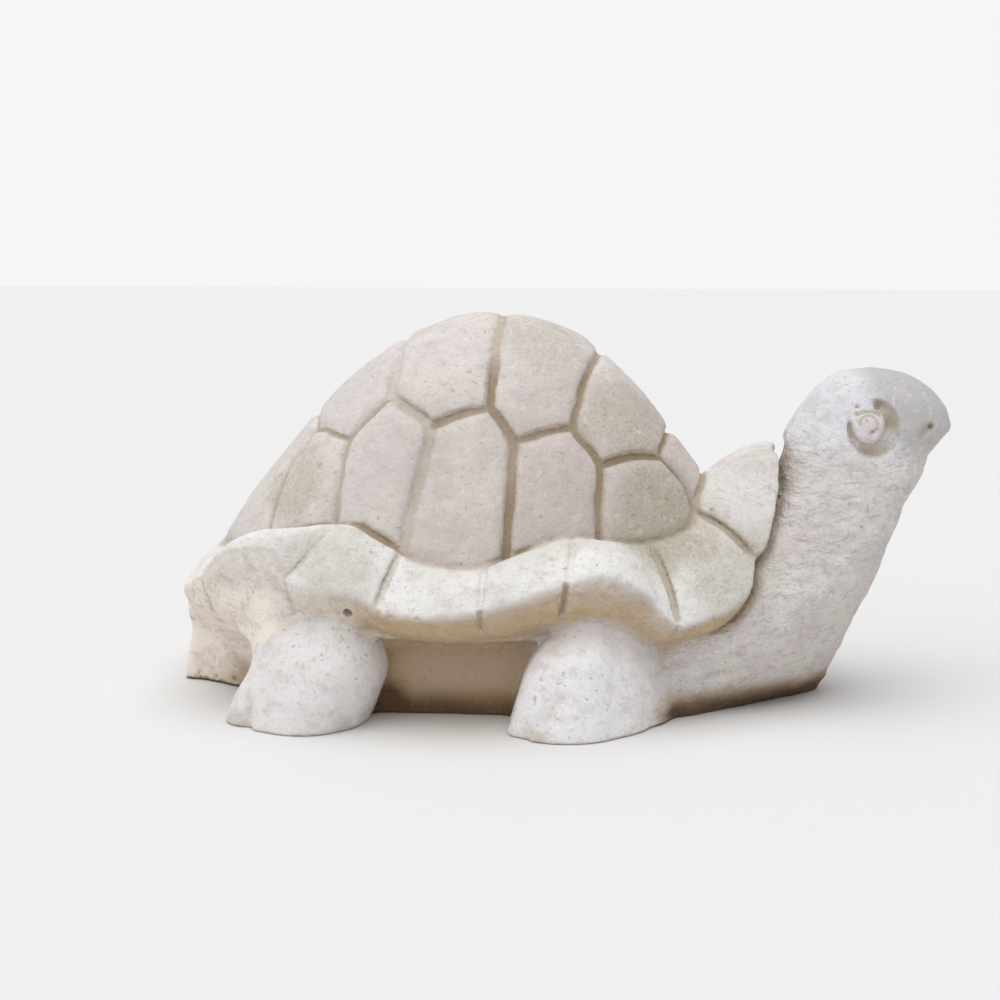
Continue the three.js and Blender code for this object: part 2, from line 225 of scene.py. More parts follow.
# The body's x and half width, from its front at 0 to its back at 1, at the ground and at its top.
body_low = [
    through([(0, 70), (0.2, 56), (0.35, 46), (0.45, 38), (0.6, -12), (0.75, -50), (0.88, -80), (1, -104)]),
    through([(0, 0), (0.2, 15), (0.35, 27.5), (0.45, 36), (0.6, 39), (0.75, 38.5), (0.88, 29), (1, 0)]),
]
body_high = [
    through([(0, 72), (0.2, 64), (0.35, 52), (0.45, 38), (0.6, -12), (0.75, -50), (0.88, -82), (1, -104)]),
    through([(0, 0), (0.2, 14), (0.35, 26), (0.45, 37), (0.6, 39.5), (0.75, 39.5), (0.88, 34), (1, 0)]),
]
# The tail's tip by its height, its half width along it at the ground, and how much wider it is higher up.
tail_tip = through([
    (0, -120.2), (4, -120.1), (12, -118.7), (17.5, -117.6), (23, -118.2), (29, -117), (TAIL_TOP, -111),
])
tail_half_width = through([(TAIL_END, 0), (-119.3, 2.2), (-113.3, 4.2), (-100.6, 10.5), (TAIL_ROOT, 16)])
tail_flare = through([(0, 1), (10, 1.3), (20, 2), (26, 2.6), (TAIL_TOP, 2.75)])


def stack(levels, slice_at, top, bottom):
    """Level slices of a volume from top to bottom, closed by a point above and one below."""
    turn = np.linspace(-180, 180, 360, endpoint=False)
    slices = [np.stack(np.broadcast_arrays(*slice_at(turn, level), 1.0 * level), axis=-1) for level in levels]
    caps = [np.broadcast_to(np.array(cap, float), slices[0].shape) for cap in (top, bottom)]
    return np.array([caps[0], *slices, caps[1]])


def body_slice(turn, level):
    along, height = np.abs(turn) / 180, np.clip(level / BODY_TOP, 0, 1)
    x, y = (low(along) * (1 - height) + high(along) * height for low, high in zip(body_low, body_high))
    return x, np.sign(turn) * y


def tail_slice(turn, level):
    tip = tail_tip(level)
    x = tip + (TAIL_ROOT - tip) * (np.cos(np.radians(turn)) + 1) / 2
    at_ground = TAIL_END + (x - tip) * (TAIL_ROOT - TAIL_END) / (TAIL_ROOT - tip)
    return x, np.sign(turn) * tail_half_width(at_ground) * tail_flare(level)


body = volume(stack(np.linspace(BODY_TOP, BELOW, 45), body_slice, (RIM_X, 0, BODY_TOP), (RIM_X, 0, BELOW)))
tail = volume(stack(np.linspace(TAIL_TOP, BELOW, 60), tail_slice, (-100, 0, TAIL_TOP), (-100, 0, BELOW)))
x_line, y_line, z_line = (low + CELL * np.arange(count) for low, count in zip(BLOCK_LOW, BLOCK_CELLS))


def egg(centre, radii):
    """Distances from an egg-shaped lump and its twin on the other flank."""
    from_centre = [line - at for line, at in zip((x_line, -np.abs(y_line), z_line), centre)]
    x, y, z = np.meshgrid(*from_centre, indexing="ij", sparse=True)
    flat = np.sqrt((x / radii[0]) ** 2 + (y / radii[1]) ** 2 + (z / radii[2]) ** 2)
    steep = np.sqrt((x / radii[0] ** 2) ** 2 + (y / radii[1] ** 2) ** 2 + (z / radii[2] ** 2) ** 2)
    return (flat * (flat - 1) / np.maximum(steep, 1e-3)).astype(np.float32)


def blend(a, b, width):
    """Two volumes joined, with a fillet about this wide where they meet."""
    h = np.clip(0.5 + 0.5 * (b - a) / width, 0, 1)
    return a * h + b * (1 - h) - width * h * (1 - h)


haunch = egg(centre=(-80, -40, 26), radii=(9, 11, 13))
low_parts = blend(blend(body, tail, width=9), haunch, width=8)

# ---------- Legs ----------
# Four rounded clubs, wider at the ground, that lean out from under the crests of the rim. They have no
# claws, only a short soft crease each that parts off a toe.

LEG_TOP = 35
LEG_Y = 46

FRONT_LEG = {
    "x": through([(0, 12), (LEG_TOP, 13)]),
    # from its middle out, by the angle from the head: -90 is straight out on the right flank
    "reach": through([
        (-180, 24.4), (-170, 24.3), (-145, 28), (-129, 27), (-118, 26), (-90, 22.2), (-54, 17.2), (-17, 18),
        (26, 25), (90, 20), (165, 23.8), (180, 24.4),
    ]),
    # how much of that reach it has at each height
    "swell": through([
        (0, 1), (5, 0.95), (13, 0.87), (20, 0.77), (26, 0.62), (30, 0.44), (33, 0.25), (LEG_TOP, 0),
    ]),
}
REAR_LEG = {
    "x": through([(0, -72), (8, -69), (17, -65.8), (LEG_TOP, -65)]),
    "reach": through([
        (-180, 24.6), (-166, 25.2), (-139, 21.3), (-113, 20.2), (-90, 20.2), (-49, 18.4), (-10, 17.3),
        (22, 17.8), (90, 18), (150, 22), (180, 24.6),
    ]),
    "swell": through([(0, 1), (8, 0.99), (17, 0.93), (24, 0.78), (30, 0.5), (33, 0.28), (LEG_TOP, 0)]),
}


def right_leg(leg):
    """Distances from this leg on the right flank."""
    def leg_slice(turn, level):
        reach = leg["swell"](level) * leg["reach"](turn)
        return leg["x"](level) + reach * np.cos(np.radians(turn)), -LEG_Y + reach * np.sin(np.radians(turn))

    levels = np.concatenate([LEG_TOP * (1 - np.linspace(0, 1, 60) ** 1.6), [BELOW]])[1:]
    top = (leg["x"](LEG_TOP), -LEG_Y, LEG_TOP)
    return volume(stack(levels, leg_slice, top, (leg["x"](0), -LEG_Y, BELOW)))


front_leg, rear_leg = right_leg(FRONT_LEG), right_leg(REAR_LEG)
front_legs = np.minimum(front_leg, front_leg[:, ::-1])
rear_legs = np.minimum(rear_leg, rear_leg[:, ::-1])
del front_leg, rear_leg
low_parts = blend(blend(low_parts, front_legs, width=5), rear_legs, width=6)

# ---------- Neck and head ----------
# One tapering stack from the chest up to the crown, bent forward, with a hooked beak. It comes out from
# under the hood of the rim, and is worked all over with short level strokes of a trowel.

HEAD_TOP = 102

# The neck's front and back, half width and squareness, all by height.
throat = through([
    (0, 81.5), (12.7, 87.4), (27, 93.2), (37, 97.6), (51, 102.3), (60.6, 105.7), (70, 111), (75, 113),
    (79.4, 116.4), (84.1, 119.9), (88.7, 118.9), (92.7, 116.4), (96.1, 112.8), (99.7, 105.4),
    (HEAD_TOP, 95),
])
nape = through([
    (0, -40), (20, 0), (36, 28), (48, 50), (60, 62.5), (70, 67.4), (76, 68.6), (80.5, 69.2), (84, 70.8),
    (88, 73), (93, 76.5), (97, 80.3), (100.5, 86), (HEAD_TOP, 95),
])
neck_half_width = through([
    (0, 37.5), (20, 36.8), (34, 34.5), (44, 30.5), (54, 27), (64, 24.6), (72, 22.2), (78, 20), (85, 18.6),
    (92, 16.5), (97, 12.5), (100.5, 7), (HEAD_TOP, 0),
])
neck_squareness = through([
    (0, 1.25), (7, 1.5), (15, 1.75), (28, 2.1), (40, 2.5), (52, 2.8), (62, 2.9), (70, 3), (79, 2.5),
    (86, 2.2), (HEAD_TOP, 2.2),
])
BEAK_NARROWING = 0.25


def smoothstep(low, high, x):
    """0 before low and 1 past high, with a smooth rise between; low may also be the higher of the two."""
    t = np.clip((x - low) / (high - low), 0, 1)
    return t * t * (3 - 2 * t)


def neck_slice(turn, level):
    front, back = throat(level), nape(level)
    u, v = np.cos(np.radians(turn)), np.sin(np.radians(turn))
    squareness = neck_squareness(level)
    size = 1 / (np.abs(u) ** squareness + np.abs(v) ** squareness) ** (1 / squareness)
    beak = 1 - BEAK_NARROWING * np.maximum(0, u) ** 2 * smoothstep(70, 84, level)
    return (front + back) / 2 + (front - back) / 2 * u * size, neck_half_width(level) * v * size * beak


neck_levels = np.concatenate([HEAD_TOP * (1 - np.linspace(0, 1, 200) ** 1.7), [BELOW]])[1:]
neck = softened(volume(stack(neck_levels, neck_slice, (95, 0, HEAD_TOP), (40, 0, BELOW))), passes=2)

# ---------- The joined casting ----------
# The volumes flow into each other as wet clay does, with a crisp line only where the neck comes out of the
# shell and where the dome stands on the rim. The underside is cut flat.

shell = blend(dome, rim, width=1.6)
low_parts = blend(low_parts, neck, width=10)
toward_neck = smoothstep(20, 50, x_line)[:, None, None] * smoothstep(22, 34, z_line)[None, None, :]
beside_tail = (smoothstep(-72, -84, x_line)[:, None] * smoothstep(14, 26, np.abs(y_line)))[:, :, None]
# a fillet all round, almost none at the neck, and a fuller one beside the tail
casting = blend(shell, low_parts, width=4.0 - 3.2 * toward_neck + 7 * beside_tail)
del low_parts

# ---------- Carving ----------
# After casting, the plates of the shell were parted with grooves, flat in the floor and uneven at the
# edges, and the plates' edges rounded over. The collar round the neck, the eyes, the mouth and the toes
# were cut the same way, all by hand with a small blade.

# Seams between the plates of the dome on the right flank; those that start at y = 0 cross the spine.
# Each has half the width of its floor, its depth, and how much dust has settled in it.
DOME_SEAMS = [
    (1.4, 1.7, 1.0, [(-17.5, 0, 117), (-17.5, -12, 115), (-18.3, -27.5, 104), (-19.3, -35.4, 93),
                     (-11.3, -39.8, 83), (-12.4, -45, 68), (-13.3, -48.5, 50)]),
    (1.0, 1.5, 0.95, [(12.5, 0, 104), (12, -12, 102), (5.4, -34.2, 86.4), (14.6, -35.7, 75.4),
                      (13.7, -40.3, 64.6), (13.8, -43, 53)]),
    (0.8, 1.3, 0.9, [(34.8, 0, 80), (34, -10, 79), (31.4, -21.5, 76), (40.3, -17, 67.2), (43.4, -21, 54)]),
    (1.4, 1.6, 0.3, [(-48, 0, 110), (-48, -14, 107.5), (-50, -29.3, 94.9), (-35.9, -37.7, 87.4),
                     (-39.4, -43.7, 71.9), (-44.2, -48.3, 50)]),
    (0.6, 1.2, 0.6, [(-76, 0, 82), (-75, -10, 82), (-73.5, -19.3, 81), (-82.2, -19.9, 69.3),
                     (-86.6, -30.8, 52)]),
    (0.8, 1.4, 0.95, [(-11.3, -39.8, 83), (5.4, -34.2, 86.4)]),
    (0.9, 1.4, 1.0, [(14.6, -35.7, 75.4), (31.4, -21.5, 76)]),
    (1.1, 1.5, 0.75, [(-35.9, -37.7, 87.4), (-19.3, -35.4, 93)]),
    (0.6, 1.2, 0.6, [(-50, -29.3, 94.9), (-62.7, -31.8, 81.9), (-63.4, -37.5, 72.1), (-64.3, -43, 57)]),
    (0.6, 1.2, 0.6, [(-73.5, -19.3, 81), (-62.7, -31.8, 81.9)]),
]
SEAM_WALL = 0.9  # from the floor of a seam to the top of its side
# How strongly each seam of the rim is cut on top of it, and the notch below it over the rolled edge.
RIM_CUTS = [(1, 0), (1, 0), (0.85, 0.6), (0.3, 1), (0.35, 1), (0.6, 0.5), (0.3, 0.5), (0.6, 0.5), (0.6, 0.5)]
RIM_SEAM_DEPTH = 1.1
NOTCH_DEPTH = 1.5
# How far from the middle of each cut its side ends and its floor begins.
RIM_SEAM_SIDE = (1.3, 0.3)
NOTCH_SIDE = (1.4, 0.5)
FOOT_CREASE_SIDE = (1.7, 0.4)
COLLAR_SIDE = (2.3, 0.9)
MOUTH_SIDE = (2.0, 0.3)
TOE_CREASE_SIDE = (3.2, 0.2)
# How much dust has settled in each.
SETTLED = {
    "rim seam": 0.6, "notch": 0.75, "foot crease": 0.8, "mouth": 0.4, "toe crease": 0.34, "toe tip": 0.4,
}
# How strongly the crease at the dome's foot is cut, along the shell.
FOOT_CREASE = through([
    (-110, 0.6), (-62, 0.6), (-54, 1), (-46, 1), (-38, 0.25), (-20, 0.25), (-14, 0.9), (-8, 0.8), (-2, 0.2),
    (12, 0.3), (24, 0.7), (60, 0.8),
])
FOOT_CREASE_DEPTH = 1.2
BEVEL = 0.75  # how much lower a plate is at its very edge
BEVEL_WIDTH = 1.9
COLLAR_DEPTH = 1.7

# The right eye: a socket a little behind which the eyeball sits, under a lid that closes the socket at its
# upper back. The places are seen square on.
SOCKET = (94.8, 84.9)
SOCKET_SIZE = (8.0, 8.8)
SOCKET_DEPTH = 1.9
EYEBALL = (93.2, 86.0)
EYEBALL_SIZE = (4.5, 5.0)
EYEBALL_RISE = 1.1
MOUTH = np.array([(112.4, 0, 85.2), (110.8, 0, 84.6), (109.2, 0, 82.8)])
MOUTH_DEPTH = 0.9
TOE_CREASES = [
    [(3.5, -66, 12.5), (-0.8, -66.8, 7.5), (-4.3, -66, 3.9), (-8.5, -64.8, 0.5)],
    [(-89.2, -57, 8), (-88.4, -58.4, 4), (-88.4, -59, -1)],
]
TOE_CREASE_DEPTH = 1.6
TOE_TIPS = [(-4, -66, -0.5), (-92, -57, 0.5)]  # soiled from the ground
FAR = 9.0  # further than any cut reaches
SIDE_ON = np.array([1, 0, 1])  # times a point, it lies in the plane between the flanks


def onto_dome(points):
    """These points moved onto the dome, away from the middle of its floor."""
    x, y, z = points.T
    rise = (z - DOME_FLOOR) / (spine_height(x) - DOME_FLOOR)
    spread = np.abs(y) / dome_half_width(x)
    scale = np.ones(len(x))
    for _ in range(25):  # each step comes closer to the dome's skin
        scale /= ((scale * rise) ** ARCH_TOP_SQUARENESS + (scale * spread) ** ARCH_SIDE_SQUARENESS) ** 0.45
    return np.stack([x, y * scale, DOME_FLOOR + (z - DOME_FLOOR) * scale], axis=-1)


def fine_line(corners, step=2.0):
    """A line through these corners in short steps, with its corners a little rounded."""
    corners = np.array(corners, float)
    pieces = []
    for start, end in zip(corners[:-1], corners[1:]):
        count = max(2, round(np.linalg.norm(end - start) / step))
        pieces.append(start + (end - start) * np.linspace(0, 1, count, endpoint=False)[:, None])
    line = np.concatenate([*pieces, corners[-1:]])
    for _ in range(3):
        line[1:-1] = line[1:-1] * 0.5 + (line[:-2] + line[2:]) * 0.25
    return line


def away_from(points, line):
    """How far each point is from a line, up to FAR."""
    far = np.full(len(points), FAR, np.float32)
    near = np.flatnonzero(np.all((points > line.min(0) - FAR) & (points < line.max(0) + FAR), axis=1))
    close = points[near]
    best = far[near]
    for start, end in zip(line[:-1], line[1:]):
        along = end - start
        arm = close - start
        t = np.clip(arm @ along / (along @ along), 0, 1)
        best = np.minimum(best, np.linalg.norm(arm - t[:, None] * along, axis=1))
    far[near] = best
    return far


def mixed(block, base, t):
    """Values of a block mixed from the eight corners of a cell, t of the way from its base."""
    value = np.zeros(len(base), np.float32)
    for corner in np.ndindex(2, 2, 2):
        weight = np.prod(np.where(np.array(corner, bool), t, 1 - t), axis=1)
        i, j, k = ((base + np.array(corner, np.int32)) % block.shape).T
        value += weight * block[i, j, k]
    return value


def lumps(points, size, seed):
    """Smooth random heights from -1 to 1, with lumps about this many millimetres apart."""
    heights = np.random.default_rng(seed).uniform(-1, 1, (48, 48, 48)).astype(np.float32)
    cells = (points / size).astype(np.float32)
    base = np.floor(cells).astype(np.int32)
    t = cells - base
    return mixed(heights, base, t * t * (3 - 2 * t))


def sample(block, points):
    """Values of a block at points between its cells."""
    cells = np.clip((points - BLOCK_LOW) / CELL, 0, np.array(BLOCK_CELLS) - 1.001)
    base = np.floor(cells).astype(np.int32)
    return mixed(block, base, (cells - base).astype(np.float32))


def onto_right(points):
    """These points, with those of the left flank moved to their twins on the right."""
    return points * SIDE_ON - np.abs(points) * np.array([0, 1, 0])


def rim_seam_line(foot, lip):
    """Out over the rim along a seam to the lip."""
    points = []
    for out in np.linspace(-0.05, 1, 14):
        angle = foot + (lip - foot) * out
        reach = foot_reach(angle) + (1 - foot_reach(angle)) * out
        x, y = outline(angle, reach * lip_reach(angle) ** max(out, 0))
        points.append((x, -y, rim_height(angle, reach)))
    return np.array(points, float)


def notch_line(lip):
    """Down over the rolled edge from a seam's end."""
    points = []
    for down in (0, 0.35, 0.7, 1):
        x, y = outline(lip, lip_reach(lip) * (1 - ROLL_LEAN * down**1.5))
        points.append((x, -y, lip_height(lip) - lip_thickness(lip) * down))
    return np.array(points, float)


def beside(line, surface, points):
    """How far each point is from a line, measured along the surface that the line lies on."""
    apart = away_from(points, line)
    along = np.sqrt(np.maximum(apart**2 - surface**2, 0))
    return np.where((apart < FAR - 0.1) & (np.abs(surface) < 4), along, FAR)


def where_they_meet(one, other):
    """How far each point is from the line where two skins meet, from its distances to both."""
    return np.where(np.maximum(np.abs(one), np.abs(other)) < 5, np.abs(one - other), FAR)


def shell_cuts(points, mirrored, shaken, wander):
    """Depths and dust of the seams, notches and foot crease of the shell, with its plates' edges rounded."""
    to_dome, to_rim = sample(dome, points), sample(rim, points)
    on_dome = smoothstep(1.2, -0.4, to_dome - to_rim)
    height = points[:, 2]
    depth = np.zeros(len(points), np.float32)
    dust = np.zeros(len(points), np.float32)
    to_edge = np.full(len(points), FAR, np.float32)

    dome_there = sample(dome, shaken)
    for half_width, cut, held, corners in DOME_SEAMS:
        gap = beside(onto_dome(fine_line(corners)), dome_there, shaken)
        side = smoothstep(half_width + SEAM_WALL, half_width * 0.8, gap) * on_dome
        floor = smoothstep(half_width + 0.6 * SEAM_WALL, half_width * 0.8, gap) * on_dome
        depth = np.maximum(depth, cut * side)
        dust = np.maximum(dust, held * floor)
        to_edge = np.minimum(to_edge, np.where(on_dome > 0.5, gap - half_width, FAR))

    for (foot, lip), (cut, notch_cut) in zip(RIM_SEAMS, RIM_CUTS):
        gap = beside(rim_seam_line(foot, lip), to_rim, mirrored)
        side = smoothstep(*RIM_SEAM_SIDE, gap) * (1 - on_dome)
        depth = np.maximum(depth, RIM_SEAM_DEPTH * cut * side)
        dust = np.maximum(dust, SETTLED["rim seam"] * cut * side)
        to_edge = np.minimum(to_edge, np.where(on_dome < 0.5, gap + 1.5 * (1 - cut), FAR))
        notch = smoothstep(*NOTCH_SIDE, beside(notch_line(lip), to_rim, mirrored)) * notch_cut
        depth = np.maximum(depth, NOTCH_DEPTH * notch)
        dust = np.maximum(dust, SETTLED["notch"] * notch)
    dust *= (1 + 0.3 * lumps(points, 19, 22)) * (1 - 0.4 * smoothstep(96, 108, height))

    high_up = smoothstep(38, 43, height)
    gap = where_they_meet(to_dome, to_rim) + wander[:, 0]
    side = smoothstep(*FOOT_CREASE_SIDE, gap) * FOOT_CREASE(points[:, 0]) * high_up
    depth = np.maximum(depth, FOOT_CREASE_DEPTH * side)
    dust = np.maximum(dust, SETTLED["foot crease"] * side)
    to_edge = np.minimum(to_edge, np.where(high_up > 0.5, np.maximum(gap, 0) + 1, FAR))

    depth += BEVEL * np.exp(-((np.maximum(to_edge, 0) / BEVEL_WIDTH) ** 2))
    return depth * (1 - 0.6 * smoothstep(98, 110, height)), dust


def from_eyeball(points):
    """How far these points are from the middle of the eyeball, seen square on: 1 is its edge."""
    steps = [(points[:, axis] - middle) / size for axis, middle, size in zip((0, 2), EYEBALL, EYEBALL_SIZE)]
    return np.hypot(*steps)


def eye_cuts(points, mirrored, wander):
    """Depths and dust of the socket, with painted shade behind its brow, and the rise of the eyeball in it as
    a depth below 0.
    """
    on_face = smoothstep(8, 11, -mirrored[:, 1])
    across, up = ((mirrored[:, axis] + 0.4 * wander[:, axis] - middle) / size
                  for axis, middle, size in zip((0, 2), SOCKET, SOCKET_SIZE))
    toward = np.degrees(np.arctan2(up, across))
    lid = smoothstep(82, 96, toward) * smoothstep(172, 158, toward)
    from_ball = from_eyeball(mirrored)
    ring = smoothstep(1.04, 0.86, np.hypot(across, up)) * smoothstep(0.95, 1.2, from_ball)
    socket = ring * (1 - 0.92 * lid) * on_face
    ball = np.sqrt(np.clip(1 - from_ball**2, 0, 1)) * on_face
    # painted shade: the socket is darker behind the brow ridge, added to its dust
    behind_brow = smoothstep(-15, 15, toward) * smoothstep(110, 70, toward)
    below = smoothstep(-30, -60, toward) * smoothstep(-150, -120, toward)
    at_back = smoothstep(140, 165, np.abs(toward))
    dust = socket * (0.15 + 0.6 * behind_brow + 0.45 * below + 0.4 * at_back)
    dust = dust * (1 + 0.5 * lumps(points, 3, 51))
    return SOCKET_DEPTH * socket - EYEBALL_RISE * ball, dust


def carve(points):
    """How deep the casting is cut at these points, and how much its cuts hold dust there, with painted shade
    in the eye socket behind the brow.
    """
    mirrored = onto_right(points)
    wander = np.stack([lumps(points, 5.5, seed) for seed in (11, 12, 13)], axis=-1) * 0.5
    wander += np.stack([lumps(points, 2.2, seed) for seed in (14, 15, 16)], axis=-1) * 0.2
    shaken = (mirrored + wander).astype(np.float32)
    depth, dust = shell_cuts(points, mirrored, shaken, wander)

    to_shell = np.minimum(sample(dome, points), sample(rim, points))
    gap = where_they_meet(to_shell, sample(neck, points)) * 0.75 + wander[:, 0] * 0.7
    zone = smoothstep(36, 42, points[:, 0]) * smoothstep(24, 29, points[:, 2])
    collar = smoothstep(*COLLAR_SIDE, gap) * zone
    eye, eye_dust = eye_cuts(points, mirrored, wander)
    mouth = smoothstep(*MOUTH_SIDE, away_from(mirrored * SIDE_ON, MOUTH)) * smoothstep(5, 8, -mirrored[:, 1])
    depth += COLLAR_DEPTH * collar + eye + MOUTH_DEPTH * mouth
    for crease in TOE_CREASES:
        side = smoothstep(*TOE_CREASE_SIDE, away_from(shaken, fine_line(crease)))
        depth += TOE_CREASE_DEPTH * side
        dust = np.maximum(dust, SETTLED["toe crease"] * side)
    for tip in TOE_TIPS:
        near = smoothstep(8, 2.5, np.linalg.norm(shaken - np.array(tip), axis=1))
        dust = np.maximum(dust, SETTLED["toe tip"] * near)
    return depth, np.max([dust, collar, eye_dust, SETTLED["mouth"] * mouth], axis=0)


SKIN_BAND = 3.2  # how far from its skin the casting is worked
# The hand leaves the skin uneven, in lumps of these heights, sizes and seeds, and in strokes on the neck.
UNEVENNESS = [(0.32, 13, 31), (0.2, 5, 32), (0.1, 2.4, 33)]
STROKE_HEIGHT = 0.3
band = np.argwhere(np.abs(casting) < SKIN_BAND)
band_points = BLOCK_LOW + band * CELL
cut, _ = carve(band_points)
relief = sum(height * lumps(band_points, size, seed) for height, size, seed in UNEVENNESS)
stroked = smoothstep(1.5, -1.5, sample(neck, band_points) - sample(shell, band_points))
stroked *= smoothstep(96, 78, band_points[:, 2])
relief += STROKE_HEIGHT * stroked * lumps(band_points * np.array([0.3, 0.3, 1]), 2.1, 34)
casting[tuple(band.T)] += cut - relief.astype(np.float32)
above_ground = -np.broadcast_to(z_line[None, None, :], BLOCK_CELLS)
casting = blend(casting, above_ground, width=-0.4).astype(np.float32)  # below 0, it keeps what is in both

# ---------- The skin of the casting ----------
# Air bubbles left small round pits all over the cast face, at random, and one deep hole under the back of
# the rim. Where it was cut finely, at the eyes and the mouth, the skin has smaller faces.

FACES = 150000
PIT_SPACING = 0.0042
PIT_RADIUS = 0.0011
PIT_DEPTH = 0.00036

cast_grid = openvdb.FloatGrid(REACH)
cast_grid.copyFromArray(casting)
cast_grid.transform = openvdb.createLinearTransform(CELL)
points, quads = cast_grid.convertToQuads(0)
points = points + BLOCK_LOW
mesh = bpy.data.meshes.new("turtle_casting")
mesh.from_pydata((points / 1000).tolist(), [], quads.astype(int).tolist())
blank = bpy.data.objects.new("turtle_blank", mesh)
bpy.context.scene.collection.objects.link(blank)


class Wire:
    """An output of a node. Arithmetic on wires adds Math nodes to their tree."""

    def __init__(self, socket):
        self.socket = socket
        self.tree = socket.id_data

    @staticmethod
    def node(tree, kind, settings=None, values=None):
        """A new node's first output, with its settings made before its sockets are filled."""
        node = tree.nodes.new(kind)
        for name, setting in (settings or {}).items():
            setattr(node, name, setting)
        for name, value in (values or {}).items():
            if isinstance(value, Wire):
                tree.links.new(value.socket, node.inputs[name])
            else:
                node.inputs[name].default_value = value
        return Wire(next(output for output in node.outputs if output.enabled)) if node.outputs else node

    def output(self, name):
        return Wire(self.socket.node.outputs[name])

    def math(self, operation, *values, clamp=False):
        settings = {"operation": operation, "use_clamp": clamp}
        return Wire.node(self.tree, "ShaderNodeMath", settings, dict(enumerate(values)))

    def __add__(self, other):
        return self.math("ADD", self, other)

    __radd__ = __add__

    def __sub__(self, other):
        return self.math("SUBTRACT", self, other)

    def __rsub__(self, other):
        return self.math("SUBTRACT", other, self)

    def __mul__(self, other):
        return self.math("MULTIPLY", self, other)

    __rmul__ = __mul__

    def __truediv__(self, other):
        return self.math("DIVIDE", self, other)

    def clamped(self):
        return self.math("ADD", self, 0.0, clamp=True)


stone = bpy.data.materials.new("cast_stone")

pits = bpy.data.node_groups.new("casting_pits", "GeometryNodeTree")
sockets = {}
for name, kind, value in [
    ("Geometry", "NodeSocketGeometry", None), ("Spacing", "NodeSocketFloat", PIT_SPACING),
    ("Radius", "NodeSocketFloat", PIT_RADIUS), ("Depth", "NodeSocketFloat", PIT_DEPTH),
    ("Seed", "NodeSocketInt", 7), ("Material", "NodeSocketMaterial", stone),
]:
    item = pits.interface.new_socket(name=name, in_out="INPUT", socket_type=kind)
    sockets[item.identifier] = value
pits.interface.new_socket(name="Geometry", in_out="OUTPUT", socket_type="NodeSocketGeometry")
given = Wire.node(pits, "NodeGroupInput")
spots = Wire.node(pits, "GeometryNodeDistributePointsOnFaces", {"distribute_method": "POISSON"}, {
    "Mesh": given, "Distance Min": given.output("Spacing"), "Density Max": 60000.0, "Density Factor": 1.0,
    "Seed": given.output("Seed"),
})
size_of_spot = Wire.node(pits, "FunctionNodeRandomValue", {"data_type": "FLOAT"}, {
    "Min": 0.25, "Max": 1.0, "Seed": given.output("Seed"),
})
place = Wire.node(pits, "GeometryNodeInputPosition")
nearest_spot = Wire.node(pits, "GeometryNodeSampleNearest", {"domain": "POINT"}, {
    "Geometry": spots, "Sample Position": place,
})
size_there = Wire.node(pits, "GeometryNodeSampleIndex", {"data_type": "FLOAT", "domain": "POINT"}, {
    "Geometry": spots, "Value": size_of_spot, "Index": nearest_spot,
})
spot_there = Wire.node(pits, "GeometryNodeSampleIndex", {"data_type": "FLOAT_VECTOR", "domain": "POINT"}, {
    "Geometry": spots, "Value": place, "Index": nearest_spot,
})
gap = Wire.node(pits, "ShaderNodeVectorMath", {"operation": "DISTANCE"}, {0: place, 1: spot_there})
within = (1 - gap / (given.output("Radius") * size_there)).clamped()
sink = within * within * (3 - 2 * within) * given.output("Depth") * size_there
push = Wire.node(pits, "ShaderNodeVectorMath", {"operation": "SCALE"}, {
    0: Wire.node(pits, "GeometryNodeInputNormal"), "Scale": 0 - sink,
})
pitted = Wire.node(pits, "GeometryNodeSetPosition", None, {"Geometry": given, "Offset": push})
whole = Wire.node(pits, "GeometryNodeRealizeInstances", None, {"Geometry": pitted})
finished = Wire.node(pits, "GeometryNodeSetMaterial", None, {
    "Geometry": whole, "Material": given.output("Material"),
})
Wire.node(pits, "NodeGroupOutput", None, {"Geometry": finished})

pitting = blank.modifiers.new("pits", "NODES")
pitting.node_group = pits
for identifier, value in sockets.items():
    if value is not None:
        pitting[identifier] = value
thinning = blank.modifiers.new("thinning", "DECIMATE")
thinning.ratio = min(1, FACES / (2 * len(mesh.polygons)))
evaluated = blank.evaluated_get(bpy.context.evaluated_depsgraph_get())
skin = bpy.data.meshes.new_from_object(evaluated)
bpy.data.objects.remove(blank)
turtle = bpy.data.objects.new("turtle_casting", skin)
skin.name = "turtle_casting"
bpy.context.scene.collection.objects.link(turtle)

# A crumb that the cuts have parted from the rest falls off: what stays is joined to the top of the shell.
net = bmesh.new()
net.from_mesh(skin)
top = max(net.verts, key=lambda vertex: vertex.co.z)
joined, ahead = {top}, [top]
while ahead:
    vertex = ahead.pop()
    fresh = {edge.other_vert(vertex) for edge in vertex.link_edges} - joined
    joined |= fresh
    ahead.extend(fresh)
crumbs = [vertex for vertex in net.verts if vertex not in joined]
bmesh.ops.delete(net, geom=crumbs, context="VERTS")

# Places that were cut finely: their middles and how far round them the faces are made smaller, twice over.
BUBBLE = (-58.8, -55, 34.6)
BUBBLE_RADIUS = 1.6
BUBBLE_DEPTH = 1.9
FINE_PLACES = [
    ((94, -17.9, 86), 11), ((94, 17.9, 86), 11), ((112, -9, 83), 6), ((112, 9, 83), 6), (BUBBLE, 6),
]
for shrink in (0, 1):
    for middle, radius in FINE_PLACES:
        middle = Vector(middle) / 1000
        reach = (radius - shrink) / 1000
        close = [
            edge for edge in net.edges if all((vertex.co - middle).length < reach for vertex in edge.verts)
        ]
        bmesh.ops.subdivide_edges(net, edges=close, cuts=1, use_grid_fill=True)
bmesh.ops.triangulate(net, faces=[face for face in net.faces if len(face.verts) > 3])
net.to_mesh(skin)
net.free()


def vertices_of(mesh, what="co"):
    values = np.empty(len(mesh.vertices) * 3, np.float32)
    mesh.vertices.foreach_get(what, values)
    return values.reshape(-1, 3)


